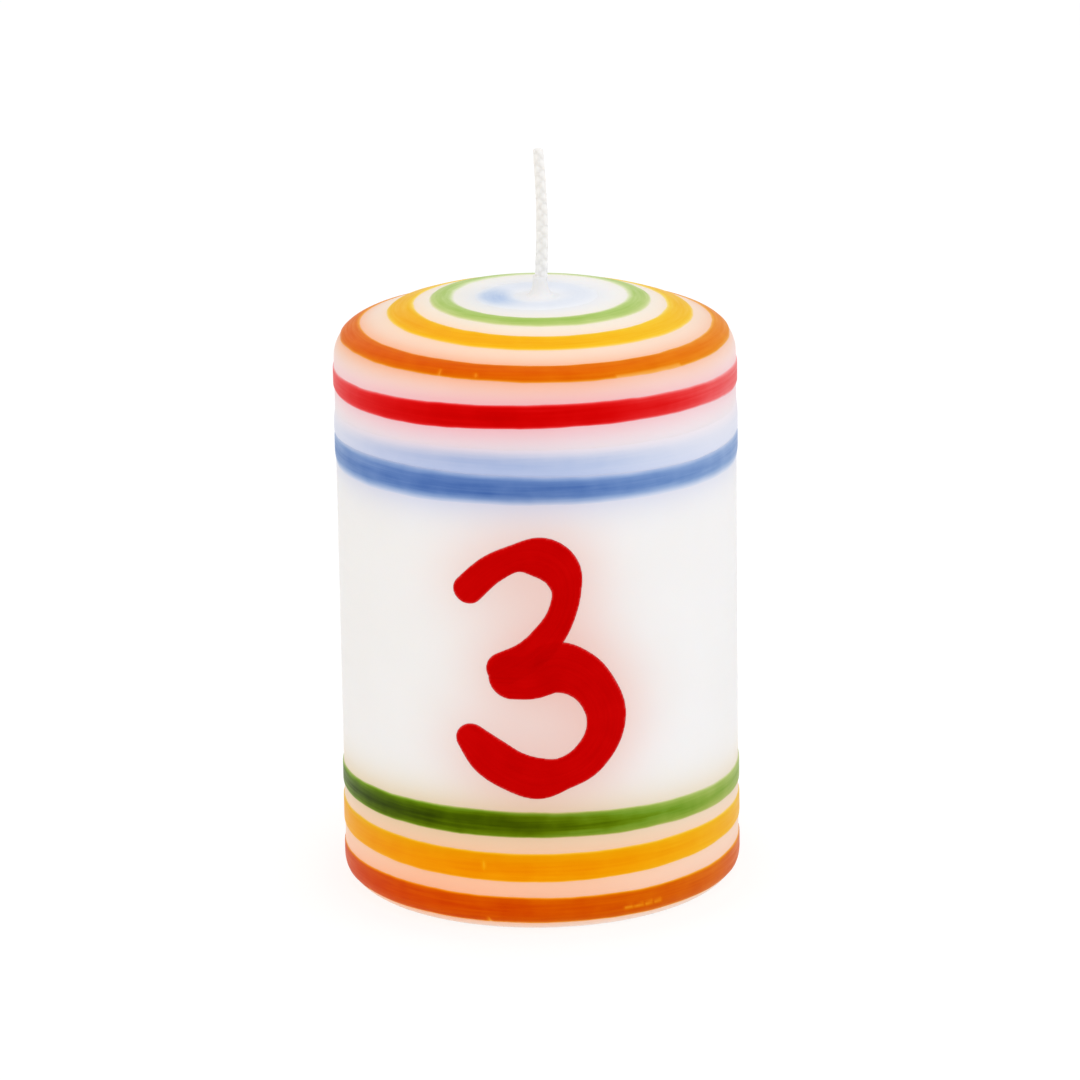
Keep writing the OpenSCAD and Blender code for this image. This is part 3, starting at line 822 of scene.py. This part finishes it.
# The numeral: two brush strokes, each point as [across, up, brush width] in mm above the numeral's foot
NUMERAL_Z = 17.8
UPPER_STROKE = [
    (-8.5, 26.4, 3.8), (-5.8, 29.0, 3.7), (-2.6, 30.6, 3.6), (0.5, 30.6, 5.2), (2.7, 29.0, 4.9),
    (3.4, 26.2, 3.7), (2.6, 23.0, 3.6), (0.9, 20.3, 4.0), (-1.4, 18.1, 4.1), (-4.4, 16.5, 4.3),
]
LOWER_STROKE = [
    (-3.4, 15.5, 5.8), (-1.0, 15.5, 5.7), (1.8, 16.7, 6.6), (4.6, 15.8, 6.0), (6.7, 13.7, 5.3),
    (8.0, 10.6, 5.0), (7.6, 7.4, 4.7), (5.5, 4.5, 4.5), (2.6, 3.0, 4.3), (-0.4, 2.5, 5.4),
    (-3.4, 3.4, 5.4), (-6.2, 5.1, 5.4), (-8.4, 7.3, 4.0),
]
# Steps between two points of a stroke, cell of the film's grid, room round the strokes, feather of the edge
STROKE_STEPS, NUMERAL_CELL, NUMERAL_ROOM, NUMERAL_FEATHER = 40, 0.2, 4, 0.22
# Depth of the numeral's coat, and the shares by which it is deeper and thicker where the strokes cross
NUMERAL_DEPTH, LAP_DEPTH, LAP_T = 1.2, 0.15, 0.25
# The brush's way starts this far on for the second stroke, so that its streaks are its own
SECOND_STROKE_RUN = 100


def stroke_path(points):
    """Points of a smooth line through a stroke's points, with their brush widths."""
    p = np.array([points[0], *points, points[-1]], float)
    t = np.linspace(0, 1, STROKE_STEPS, endpoint=False)[:, None]
    spans = [0.5 * (2 * b + (c - a) * t + (2 * a - 5 * b + 4 * c - d) * t ** 2
                    + (3 * b - a - 3 * c + d) * t ** 3)
             for a, b, c, d in zip(p, p[1:], p[2:], p[3:])]
    return np.vstack([*spans, p[-1:]])


def under_brush(spots, path):
    """For each spot: how deep inside the stroke it is, how far along the stroke, and how far across it."""
    lengths = np.r_[0, np.cumsum(np.linalg.norm(np.diff(path[:, :2], axis=0), axis=1))]
    away = np.linalg.norm(spots[:, None] - path[None, :, :2], axis=2)
    inside = path[None, :, 2] / 2 - away
    best = inside.argmax(axis=1)
    here = np.arange(len(spots))
    way = np.gradient(path[:, :2], axis=0)[best]
    off = spots - path[best, :2]
    across = (way[:, 0] * off[:, 1] - way[:, 1] * off[:, 0]) / np.linalg.norm(way, axis=1)
    return inside[here, best], lengths[best], across


def smooth_step(value):
    t = np.clip(value, 0, 1)
    return t * t * (3 - 2 * t)


def flat_numeral():
    """The numeral as a flat closed film: a fine grid in the strokes, its rim drawn out to their outline."""
    paths = [stroke_path(UPPER_STROKE), stroke_path(LOWER_STROKE)]
    both = np.vstack(paths)
    low, high = both[:, :2].min(axis=0) - NUMERAL_ROOM, both[:, :2].max(axis=0) + NUMERAL_ROOM
    xs, ys = (np.arange(low[k], high[k], NUMERAL_CELL) for k in (0, 1))
    grid = np.stack(np.meshgrid(xs, ys), axis=-1)
    spots = grid.reshape(-1, 2)
    depths = [under_brush(spots, path) for path in paths]
    deep = np.maximum(depths[0][0], depths[1][0]).reshape(grid.shape[:2])
    kept = deep > 0
    cells = kept[:-1, :-1] & kept[1:, :-1] & kept[:-1, 1:] & kept[1:, 1:]
    # A lone cell on the outline would be squeezed flat
    ring = np.pad(cells, 1)
    cells &= (ring[1:-1, :-2] | ring[1:-1, 2:]) & (ring[:-2, 1:-1] | ring[2:, 1:-1])
    # A point is on the rim if one of the four cells round it is missing
    ring = np.pad(cells, 1)
    used = ring[:-1, :-1] | ring[1:, :-1] | ring[:-1, 1:] | ring[1:, 1:]
    rim = used & ~(ring[:-1, :-1] & ring[1:, :-1] & ring[:-1, 1:] & ring[1:, 1:])
    slope = np.stack(np.gradient(deep, NUMERAL_CELL), axis=-1)[..., ::-1]
    slope /= np.maximum(np.linalg.norm(slope, axis=-1, keepdims=True), 1e-6)
    grid = np.where(rim[..., None], grid - slope * deep[..., None], grid)
    spots = grid[used]
    edge = rim[used]
    depths = [under_brush(spots, path) for path in paths]
    fulls = [smooth_step(d[0] / NUMERAL_FEATHER) for d in depths]
    full, twice = np.maximum(*fulls), np.minimum(*fulls)
    full[edge] = 0
    twice[edge] = 0
    upper = depths[0][0] > depths[1][0]
    run = np.where(upper, depths[0][1], depths[1][1] + SECOND_STROKE_RUN)
    across = np.where(upper, depths[0][2], depths[1][2])
    face = COAT_T * full + LAP_T * COAT_T * twice - COAT_SINK
    count = len(spots)
    number = np.full(used.shape, -1)
    number[used] = np.arange(count)
    # The underside shares the rim's points and has its own inner ones
    below = np.arange(count)
    below[~edge] = count + np.arange((~edge).sum())
    rows, columns = np.nonzero(cells)
    quads = np.stack([number[rows, columns], number[rows, columns + 1], number[rows + 1, columns + 1],
                      number[rows + 1, columns]], axis=1)
    faces = np.vstack([quads, below[quads[:, ::-1]]])
    round_side = BODY_R * np.arcsin(spots[:, 0] / BODY_R)
    up = spots[:, 1] + NUMERAL_Z
    top = np.column_stack([round_side, up, face])
    bottom = np.column_stack([round_side, up, np.full(count, -COAT_SINK)])[~edge]
    piece = new_piece("numeral_coat", np.vstack([top, bottom]) * MM, (), faces.tolist())
    load = NUMERAL_DEPTH * np.r_[full * (1 + LAP_DEPTH * twice), full[~edge]]
    soak = np.r_[full, full[~edge]]
    way = np.column_stack([run, np.zeros(count), across])
    way = np.vstack([way, way[~edge]]) * MM
    for label, kind, key, values in (("load", "FLOAT", "value", load), ("soak", "FLOAT", "value", soak),
                                     ("brush_way", "FLOAT_VECTOR", "vector", way.ravel())):
        piece.data.attributes.new(label, kind, "POINT").data.foreach_set(key, values)
    return piece


numeral = grow(flat_numeral(), numeral_tree(), {
    "Outside": outside, "Side Run": (run_at_height(BODY_H / 2) + BODY_H / 2) * MM,
    "Material": PAINTS["red_paint"],
})
coats["numeral_three"] = (numeral, "red_paint", NUMERAL_TINT, NUMERAL_SPREADS)

TURNING_TREE = turning_tree()


def turned(name, section, steps_round, fade_from, fade_to, uneven, material):
    """A piece turned from its closed cut, with its middle where the wick stands."""
    cut = new_piece("cut", [(out * MM, 0, up * MM) for out, up in section])
    piece = grow(new_piece(name), TURNING_TREE, {
        "Cut": cut, "Rows": len(section), "Steps Round": steps_round, "Off Centre": WICK_X * MM,
        "Fade From": fade_from * MM, "Fade To": fade_to * MM, "Uneven": uneven, "Material": material,
    })
    bpy.data.objects.remove(cut)
    return piece


# The wax body, with the dye and painted glow that the coats give it
body = turned("cast_body", wax_section(), STEPS_ROUND, DISC_R + SEAT_RIM, FLAT_R - RIM_EASE, 1.0, white_wax)
grow(body, dye_and_glow_tree([(coat, tint, spreads) for coat, slot, tint, spreads in coats.values()]), {
    **SPREADS, "Material": white_wax,
})
UNDER_COAT_TREE = under_coat_tree()
for coat, slot, *_ in coats.values():
    grow(coat, UNDER_COAT_TREE, {"Body": body, "Material": PAINTS[slot]})

# The wick and its holder
wick = grow(new_piece("plaited_wick"), wick_tree(), {
    "Foot": (WICK_X * MM, 0, (DISC_INSET + FOOT_GAP) * MM), "Tip": (WICK_X * MM, 0, WICK_TOP * MM),
    "Wax Top": BODY_H * MM, "Strands": STRANDS, "Pitch": PITCH * MM, "Spread": SWING * MM,
    "Strand Radius": STRAND_R * MM, "Tip Share": TIP_SHARE, "Bow": BOW * MM, "Steps": STRAND_STEPS,
    "Material": cotton,
})
holder = turned("stamped_holder", holder_section(), HOLDER_STEPS_ROUND, BODY_R, 2 * BODY_R, 0.0, tinplate)
grow(holder, pressing_tree(), {
    "Middle": (WICK_X * MM, 0, 0), "Spokes": SPOKES, "Spoke Depth": SPOKE_DEPTH * MM,
    "Crimp Depth": CRIMP_DEPTH * MM, "Material": tinplate,
})
bpy.data.objects.remove(outside)

# Every piece takes the place of its node and rides on the one body
for piece, node, slot in [(body, "wax_body", "white_wax"), (wick, "wick", "waxed_cotton"),
                          (holder, "wick_holder", "tinplate"),
                          *((coat, node, slot) for node, (coat, slot, *_) in coats.items())]:
    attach(piece, "root")
    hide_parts(node)

# The table, the light and the camera
TABLE_HALF = 2.5
corners = [(x * TABLE_HALF, y * TABLE_HALF, 0) for x, y in ((-1, -1), (1, -1), (1, 1), (-1, 1))]
table = new_piece("table", corners, (), [(0, 1, 2, 3)])
table.data.materials.append(lit_table())

scene = bpy.context.scene
scene.view_settings.view_transform = "Standard"
TENT_LIGHT = 0.74
world = bpy.data.worlds.new("white_tent")
world.use_nodes = True
plug(world.node_tree.nodes["Background"], {
    "Color": (1.0, 1.0, 1.0, 1.0), "Strength": TENT_LIGHT,
})
scene.world = world


def softbox(name, place, width, height, watts, colour):
    """A soft light panel that faces the middle of the candle."""
    lamp = bpy.data.lights.new(name, "AREA")
    lamp.shape, lamp.size, lamp.size_y = "RECTANGLE", width, height
    lamp.energy, lamp.color = watts, linear(colour)[:3]
    box = bpy.data.objects.new(name, lamp)
    scene.collection.objects.link(box)
    box.location = place
    box.rotation_euler = (Vector(MIDDLE) - Vector(place)).to_track_quat("-Z", "Y").to_euler()


MIDDLE = (0, 0, 0.04)
softbox("right_box", (0.85, -0.25, 0.45), 0.6, 0.8, 1.12, "#E6EFFF")
softbox("left_box", (-0.9, -0.2, 0.4), 0.7, 0.8, 1.18, "#FFF9EC")
softbox("top_box", (0.1, 0.1, 1.1), 0.9, 0.9, 2.5, "#FFFFFF")
softbox("front_box", (0.15, -0.75, 0.85), 0.8, 0.6, 2.1, "#FBFCFF")

# The camera of the photograph: 0.7 m away, 16.6 degrees above the table and turned 0.9 degrees
CAMERA_PLACE, CAMERA_AIM, CAMERA_ROLL = (0, -0.67097, 0.23701), (0.0003, 0.0016, 0.0430), -0.89
lens = bpy.data.cameras.new("camera")
lens.sensor_width, lens.lens = 36.0, 185.4
camera = bpy.data.objects.new("camera", lens)
scene.collection.objects.link(camera)
camera.location = CAMERA_PLACE
look = Vector(CAMERA_AIM) - camera.location
camera.rotation_euler = (look.to_track_quat("-Z", "Y").to_matrix()
                         @ Matrix.Rotation(math.radians(CAMERA_ROLL), 3, "Z")).to_euler()
scene.camera = camera
